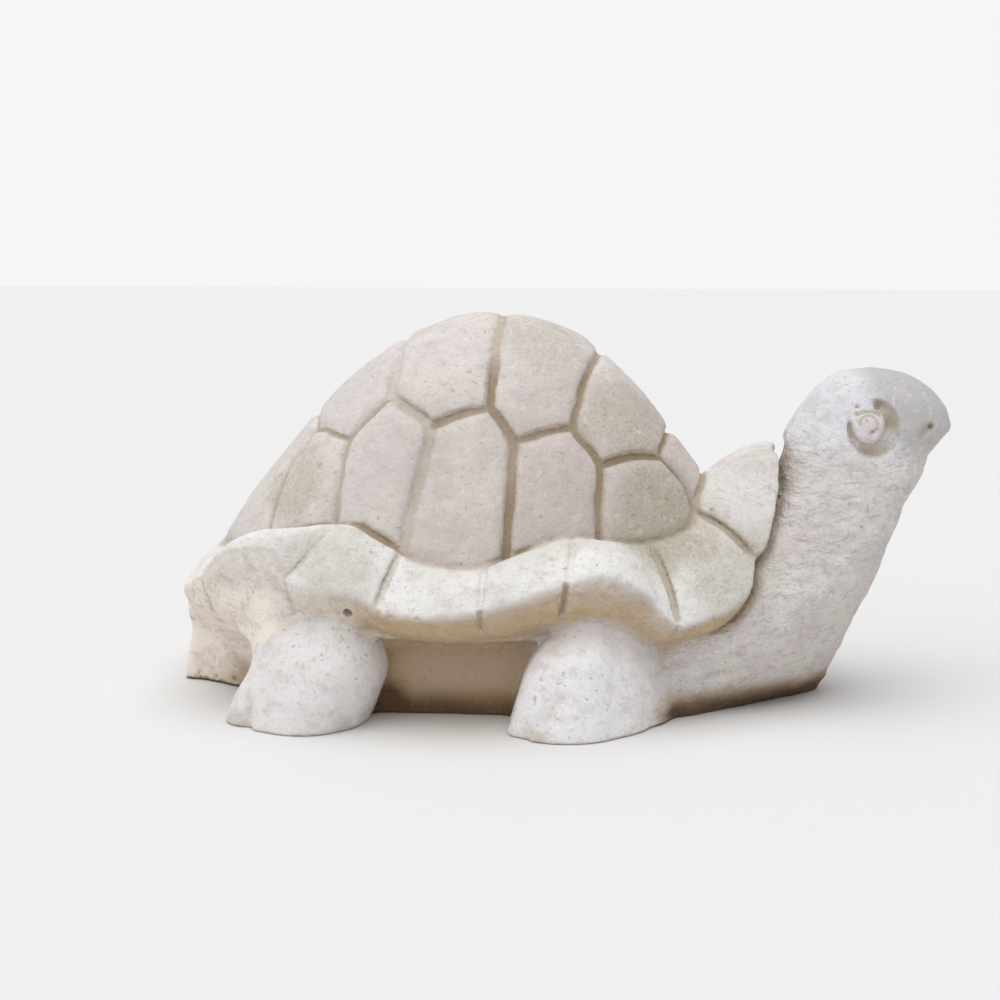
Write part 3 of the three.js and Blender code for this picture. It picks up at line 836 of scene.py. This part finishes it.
def near_any(points, places):
    close = [np.linalg.norm(points - np.array(middle), axis=1) < radius for middle, radius in places]
    return np.max(close, axis=0)


# The pupil, four dots, the fold of the lid, the line and corner of the mouth, and the one deep bubble are
# all finer than the block's cells. The dots have their x and z, radius and depth.
PUPIL = (93.1, 86.3)
PUPIL_RADIUS = 2.6
PUPIL_DEPTH = 0.4
DOTS = [(94.3, 84.4, 0.9, 0.5), (92.6, 87.4, 0.6, 0.4), (89.8, 91.4, 1.0, 0.6), (96.0, 91.2, 1.2, 0.7)]
LID_FOLD = np.array([(89.6, 0, 89.2), (91.5, 0, 90.0), (94.3, 0, 90.2), (96.6, 0, 89.2)])
LID_FOLD_DEPTH = 0.6
MOUTH_LINE_DEPTH = 0.2
MOUTH_CORNER_DEPTH = 0.8

skin_points = vertices_of(skin) * 1000
fine = np.flatnonzero(near_any(skin_points, FINE_PLACES))
at = skin_points[fine]
outward = vertices_of(skin, "normal")[fine]
at -= outward * sample(casting, at)[:, None]
mirrored = onto_right(at)
side_on = mirrored * SIDE_ON
face_x, face_z = mirrored[:, 0], mirrored[:, 2]
from_pupil = (face_x - PUPIL[0], face_z - PUPIL[1])
toward = np.degrees(np.arctan2(from_pupil[1], from_pupil[0]))
open_below = smoothstep(-170, -155, toward) * smoothstep(-80, -95, toward)
ring_gap = np.abs(np.hypot(*from_pupil) - PUPIL_RADIUS)
fine_cut = PUPIL_DEPTH * smoothstep(0.7, 0.15, ring_gap) * (1 - open_below)
for x, z, radius, cut in DOTS:
    fine_cut += cut * smoothstep(radius, 0.2, np.hypot(face_x - x, face_z - z))
fine_cut += LID_FOLD_DEPTH * smoothstep(0.9, 0.2, away_from(side_on, LID_FOLD))
fine_cut += MOUTH_LINE_DEPTH * smoothstep(1.0, 0.2, away_from(side_on, MOUTH))
from_corner = np.hypot(face_x - MOUTH[0, 0], face_z - MOUTH[0, 2])
fine_cut += MOUTH_CORNER_DEPTH * smoothstep(1.0, 0.3, from_corner)
fine_cut *= smoothstep(5, 8, -mirrored[:, 1])
from_bubble = np.hypot(at[:, 0] - BUBBLE[0], at[:, 2] - BUBBLE[2])
bubble = smoothstep(BUBBLE_RADIUS, 0.6, from_bubble) * (at[:, 1] < -40)
fine_cut += BUBBLE_DEPTH * bubble
skin_points[fine] = at - outward * fine_cut[:, None]
skin.vertices.foreach_set("co", (skin_points / 1000).ravel())
fine_dust = np.zeros(len(skin_points))
fine_dust[fine] = np.clip(fine_cut, 0, 0.6) + 0.5 * bubble
skin.update()
skin.shade_smooth()

# ---------- Stone ----------
# Sand-cast stone: pale cream where it is rubbed, tan in the cuts where dust has settled, tan under the rim
# from dust and painted shade together, and painted shade darkening it near the ground, between the legs,
# round the tops of the front legs, at the beak and in hollows. Painted light makes the top and back of the
# dome paler. It has green-grey weathering on some plates and a cooler white on the feet and head.

outward = vertices_of(skin, "normal")
along, height, upward = skin_points[:, 0], skin_points[:, 2], outward[:, 2]
to_dome, to_rim, to_neck = (sample(block, skin_points) for block in (dome, rim, neck))
to_leg = np.minimum(sample(front_legs, skin_points), sample(rear_legs, skin_points))
to_shell = np.minimum(to_dome, to_rim)

# which part of the turtle each point is on
on_neck = smoothstep(2, -2, to_neck - to_shell) * smoothstep(15, 40, along)
on_leg = smoothstep(1.4, 0.3, to_leg) * (1 - on_neck) * smoothstep(0, 3, to_shell)
on_rim = smoothstep(0.5, 2.5, to_dome - to_rim) * smoothstep(3, 1, to_rim) * (1 - on_neck)
on_dome = smoothstep(1, -1, to_dome - to_rim) * smoothstep(3, 1, to_dome)
on_eyeball = (from_eyeball(skin_points) < 1) * on_neck
on_tail = smoothstep(-74, -84, along)
behind = smoothstep(-48, -62, along)
between_legs = smoothstep(-66, -58, along) * smoothstep(6, -6, along)
between_legs = between_legs * smoothstep(1.5, 4, to_shell) * smoothstep(0.2, 1.2, to_leg)

# how much of the sky, and of the air close by, each point looks out on
skyward = outward + np.array([0, 0, 1.0])
skyward /= np.maximum(np.linalg.norm(skyward, axis=1), 0.05)[:, None]
open_above = np.mean([
    np.clip(sample(casting, skin_points + skyward * far) / min(0.66 * far, 8), 0, 1) for far in (4, 8, 14, 24)
], axis=0)
open_around = np.mean([
    np.clip(sample(casting, skin_points + outward * far) / far, 0, 1) for far in (1.5, 3, 6)
], axis=0)
hollow = 1 - open_above
facing_down = smoothstep(0.05, -0.55, upward)

# Plates that have weathered darker and greener: their middles, how far that reaches and how much.
GREEN_PLATES = [
    ((25, -24, 88), 24, 0.5), ((33, -30, 58), 25, 0.95), ((-76, -30, 66), 16, 0.55), ((53, -36, 45), 21, 0.5),
    ((64, -12, 72), 15, 0.35), ((-3, -18, 112), 22, 0.4), ((-62, -52, 48), 17, 0.35),
    ((2, -44, 62), 20, 0.2), ((-62, 33, 70), 17, 0.5), ((8, 40, 76), 16, 0.5),
]
green = np.zeros(len(skin_points))
for middle, radius, amount in GREEN_PLATES:
    apart = np.linalg.norm(skin_points - np.array(middle), axis=1)
    apart += 4 * lumps(skin_points, 8, 41) + 2 * lumps(skin_points, 3, 42)
    green = np.maximum(green, amount * smoothstep(radius, radius * 0.4, apart))

# painted shade and dust: tan brown where the skin is hidden from the sky or faces down, as under the rim
sheltered = np.clip(np.maximum(hollow, facing_down) * 1.15 - 0.1, 0, 1) * (1 - 0.9 * on_neck) * (1 - on_leg)
sheltered = sheltered * (1 - 0.7 * behind) * (1 - 0.4 * on_tail) * (1 - 0.5 * on_dome)
# painted shade near the ground: darker towards it, in hollows and on faces turned down, and at the foot of
# the wall between the legs
near_ground = smoothstep(9 + 6 * on_tail + 3.2 * on_neck, 0.5, height) * (1 - 0.7 * on_leg)
near_ground = near_ground * np.clip(1.2 * hollow + facing_down + 0.7 * on_neck, 0, 1)
wall_foot = between_legs * (smoothstep(14, 1, height) * 0.9 + 0.6 * smoothstep(-40, -52, along))
rear_face = np.maximum(on_tail * smoothstep(46, 36, height), 0.55 * behind * smoothstep(0.2, -0.1, upward))
# painted shade: the beak and front of the head, which turn away from the light, are painted darker grey
beak_side = smoothstep(92, 104, along + 0.45 * (height - 86)) * smoothstep(73, 81, height)
# painted shadow: a mauve-grey band round the top of the front legs, under the rim
leg_top = smoothstep(5, 0.5, to_leg) * smoothstep(14, 3, to_shell)
worked = on_neck * smoothstep(94, 76, height) + (1 - on_neck) * facing_down * (1 - on_leg)

# How strongly each kind of dust, wear, tint, painted shade and painted light lies at each point.
marks = {
    "seam": np.maximum(carve(skin_points)[1], fine_dust),
    "shade_and_dust": sheltered * (1 - 0.6 * smoothstep(0.1, 0.6, upward)),
    "ground_shade": np.maximum(near_ground, wall_foot),
    # painted shade on the body wall between the legs, under the rim
    "wall": between_legs,
    "cool": on_leg,
    "forefoot": on_leg * smoothstep(-30, -10, along),
    "leg_top_shade": leg_top * smoothstep(-40, 0, along) * (1 - between_legs),
    "head": on_neck * smoothstep(68, 84, height),
    "worn": on_rim * np.maximum(smoothstep(-0.1, 0.45, upward), 0.4 * behind),
    "hood": on_rim * smoothstep(36, 50, along),
    "rosy": on_dome * smoothstep(-18, -8, along) * smoothstep(102, 88, height),
    # painted light: the top and the back of the dome are painted paler
    "lit_dome": on_dome * np.maximum(smoothstep(86, 108, height), 0.8 * smoothstep(-35, -60, along)),
    "rump": rear_face * (1 - on_leg),
    "mauve": on_neck * smoothstep(84, 66, height),
    "beak_shade": on_neck * beak_side,
    "eyeball": on_eyeball,
    "green": green,
    "stroke": np.clip(worked + 0.5 * on_rim * smoothstep(0.5, 0, upward), 0, 1),
    # painted shade and dust: darker where little air is close by, in hollows
    "cavity": 1 - open_around,
}
for name, values in marks.items():
    skin.attributes.new(name, "FLOAT", "POINT").data.foreach_set("value", values.astype(np.float32))


def coloured(factor, a, b, how="MIX"):
    """Two colours mixed by a factor that is a number or a wire."""
    tree = next(value.tree for value in (factor, a, b) if isinstance(value, Wire))
    values = {0: factor, 6: a if isinstance(a, Wire) else (*a, 1), 7: b if isinstance(b, Wire) else (*b, 1)}
    return Wire.node(tree, "ShaderNodeMix", {"data_type": "RGBA", "blend_type": how}, values)


stone.use_nodes = True
grain = stone.node_tree
shader = grain.nodes["Principled BSDF"]
shader.inputs["Specular IOR Level"].default_value = 0.25
mark = {
    name: Wire.node(grain, "ShaderNodeAttribute", {"attribute_name": name}).output("Fac") for name in marks
}
where = Wire.node(grain, "ShaderNodeTexCoord").output("Object")


def cloud(scale, detail=2.0, roughness=0.5, at=where):
    """Noise with so many lumps to the metre."""
    values = {"Vector": at, "Scale": scale, "Detail": detail, "Roughness": roughness}
    return Wire.node(grain, "ShaderNodeTexNoise", None, values)


def rise(value, low, high):
    """0 below low and 1 above high."""
    values = {"Value": value, "From Min": low, "From Max": high}
    return Wire.node(grain, "ShaderNodeMapRange", {"interpolation_type": "SMOOTHSTEP"}, values)


patches, mottle, blotches = cloud(55, 3), cloud(170, 3, 0.6), cloud(300, 4, 0.65)
grit, sand = cloud(800, 2, 0.6), cloud(1300, 2, 0.6)

# The trowel dragged level strokes: noise drawn out sideways and bent.
drawn_out = Wire.node(grain, "ShaderNodeMapping", None, {"Vector": where, "Scale": (0.38, 0.38, 1.0)})
bend = Wire.node(grain, "ShaderNodeTexNoise", None, {"Vector": where, "Scale": 160.0}).output("Color")
bend = Wire.node(grain, "ShaderNodeVectorMath", {"operation": "SCALE"}, {0: bend, "Scale": 0.006})
stroke_lines = Wire.node(grain, "ShaderNodeVectorMath", {"operation": "ADD"}, {0: drawn_out, 1: bend})
drag = cloud(460, 3, 0.6, at=stroke_lines)
scratches = 1 - rise(drag, 0.36, 0.44)

settled = mark["seam"] + (mottle - 0.5) * 0.3
ground_shaded = mark["ground_shade"] * (0.8 + 0.4 * mottle)
speck = rise(cloud(620, 1, 0.4), 0.67, 0.74)
cream = coloured(rise(patches, 0.3, 0.7), (0.785, 0.77, 0.745), (0.88, 0.87, 0.845))
mauve = coloured(rise(patches, 0.4, 0.6), (0.71, 0.655, 0.66), (0.755, 0.72, 0.69))

# Each tint over those before it: how much it covers, and its colour.
COATS = [
    # painted light: the top and the back of the dome painted paler
    (mark["lit_dome"] * 0.55, (0.78, 0.735, 0.72)),
    (mark["rosy"] * 0.48, (0.62, 0.525, 0.5)),
    (mark["worn"] * 0.95, cream),
    (mark["hood"] * 0.5, (0.7, 0.655, 0.65)),
    (mark["rump"], (0.955, 0.87, 0.79)),
    (mark["mauve"], mauve),
    (mark["cool"] * 0.95, (0.84, 0.815, 0.815)),
    (mark["forefoot"] * 0.9, (0.915, 0.905, 0.92)),
    (mark["head"] * 0.95, (0.77, 0.77, 0.81)),
    # painted shade on the beak and front of the head
    (mark["beak_shade"] * 0.85, (0.51, 0.5, 0.49)),
    (mark["eyeball"] * 0.8, (0.73, 0.67, 0.665)),
    (mark["green"] * (0.6 + 0.8 * mottle), (0.505, 0.464, 0.37)),
    (mark["green"] * rise(grit, 0.5, 0.66) * 0.5, (0.3, 0.28, 0.23)),
    (rise(mottle, 0.48, 0.72) * 0.4, (0.6, 0.54, 0.54)),
    (rise(blotches, 0.53, 0.68) * 0.42, (0.55, 0.5, 0.44)),
    (rise(blotches, 0.46, 0.3) * 0.3, (0.9, 0.88, 0.86)),
    # painted shade and dust: tan brown under the rim and in sheltered places
    (mark["shade_and_dust"] * (0.65 + 0.5 * patches), (0.545, 0.4, 0.235)),
    # painted shade on the body wall between the legs, under the rim
    (mark["wall"] * 0.8, (0.5, 0.37, 0.26)),
    # painted shadow round the top of the front legs
    (mark["leg_top_shade"] * 0.7, (0.63, 0.565, 0.545)),
    (mark["stroke"] * scratches * 0.3, (0.42, 0.37, 0.34)),
    # painted shade and dust in hollows, in brown
    (rise(mark["cavity"], 0.42, 0.8) * 0.5, (0.5, 0.42, 0.34)),
    (rise(settled, 0.0, 0.6) * 0.75, (0.52, 0.445, 0.35)),
    (rise(settled, 0.45, 1.05) * 0.9, (0.35, 0.265, 0.18)),
    # painted shade near the ground, from brown to almost black
    (rise(ground_shaded, 0.0, 0.55) * 0.65, (0.43, 0.305, 0.165)),
    (rise(ground_shaded, 0.3, 1.0) * 0.95, (0.125, 0.072, 0.04)),
    (speck * (0.12 + 0.4 * rise(patches, 0.42, 0.62)), (0.37, 0.33, 0.3)),
]
colour = coloured(rise(patches, 0.35, 0.65), (0.64, 0.585, 0.555), (0.73, 0.668, 0.618))
for cover, tint in COATS:
    colour = coloured(cover, colour, tint)
shade = coloured(sand, (0.88, 0.88, 0.88), (1.12, 1.12, 1.12))
grain.links.new(coloured(1.0, colour, shade, "MULTIPLY").socket, shader.inputs["Base Color"])
grain.links.new((0.82 + 0.14 * mottle).socket, shader.inputs["Roughness"])

cells = Wire.node(grain, "ShaderNodeTexVoronoi", None, {"Vector": where, "Scale": 330.0}).output("Distance")
pinholes = 1 - rise(cells, 0.05, 0.24)
bumps = sand * 0.35 + grit * 0.6 + blotches * 2.9 - pinholes * 0.7 + drag * mark["stroke"] * 7.5
bumped = Wire.node(grain, "ShaderNodeBump", None, {"Height": bumps, "Strength": 0.7, "Distance": 0.00035})
grain.links.new(bumped.socket, shader.inputs["Normal"])

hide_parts("turtle")
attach(turtle, "root")

# ---------- Floor, light and camera ----------
# A sheet of white paper under an even sky that looks brighter than it shines, with a broad soft light
# straight overhead, a weaker one from the upper left, and faint ones from the front and from behind.

FLOOR_REACH = 2.2
SKY_SHINES = 0.46
SKY_LOOKS = 0.922
CAMERA_DOWN = 9.3
CAMERA_TURN = 4.3
# Each light's strength, how wide it is, how far it is tilted from overhead, and towards where, in degrees.
LIGHTS = {
    "overhead": (1.53, 66, 0, 0), "left": (0.45, 50, 52, -52), "front": (0.2, 60, 62, 5),
    "back": (0.12, 50, 50, 200),
}

floor_mesh = bpy.data.meshes.new("floor")
corners = [(x * FLOOR_REACH, y * FLOOR_REACH, 0) for x, y in ((-1, -1), (1, -1), (1, 1), (-1, 1))]
floor_mesh.from_pydata(corners, [], [(0, 1, 2, 3)])
floor_sheet = bpy.data.objects.new("floor", floor_mesh)
bpy.context.scene.collection.objects.link(floor_sheet)
paper = bpy.data.materials.new("paper")
paper.use_nodes = True
paper_shader = paper.node_tree.nodes["Principled BSDF"]
paper_shader.inputs["Base Color"].default_value = (0.8, 0.8, 0.8, 1)
paper_shader.inputs["Roughness"].default_value = 1
paper_shader.inputs["Specular IOR Level"].default_value = 0
floor_mesh.materials.append(paper)

camera_data = bpy.data.cameras.new("camera")
camera_data.lens = 72
camera_data.sensor_width = 36
camera = bpy.data.objects.new("camera", camera_data)
camera.location = (0.0278, -0.6183, 0.1606)
camera.rotation_euler = (math.radians(90 - CAMERA_DOWN), 0, math.radians(CAMERA_TURN))
bpy.context.scene.collection.objects.link(camera)
bpy.context.scene.camera = camera

world = bpy.data.worlds.new("studio")
world.use_nodes = True
studio = world.node_tree
seen = Wire.node(studio, "ShaderNodeLightPath")
sky = studio.nodes["Background"]
sky.inputs["Color"].default_value = (1, 1, 1, 1)
studio.links.new((SKY_SHINES + (SKY_LOOKS - SKY_SHINES) * seen).socket, sky.inputs["Strength"])
bpy.context.scene.world = world

for name, (strength, spread, tilt, heading) in LIGHTS.items():
    sun = bpy.data.lights.new(name, "SUN")
    sun.energy = strength
    sun.angle = math.radians(spread)
    lamp = bpy.data.objects.new(name, sun)
    lamp.rotation_euler = (math.radians(tilt), 0, math.radians(heading))
    bpy.context.scene.collection.objects.link(lamp)
bpy.context.scene.view_settings.view_transform = "Standard"
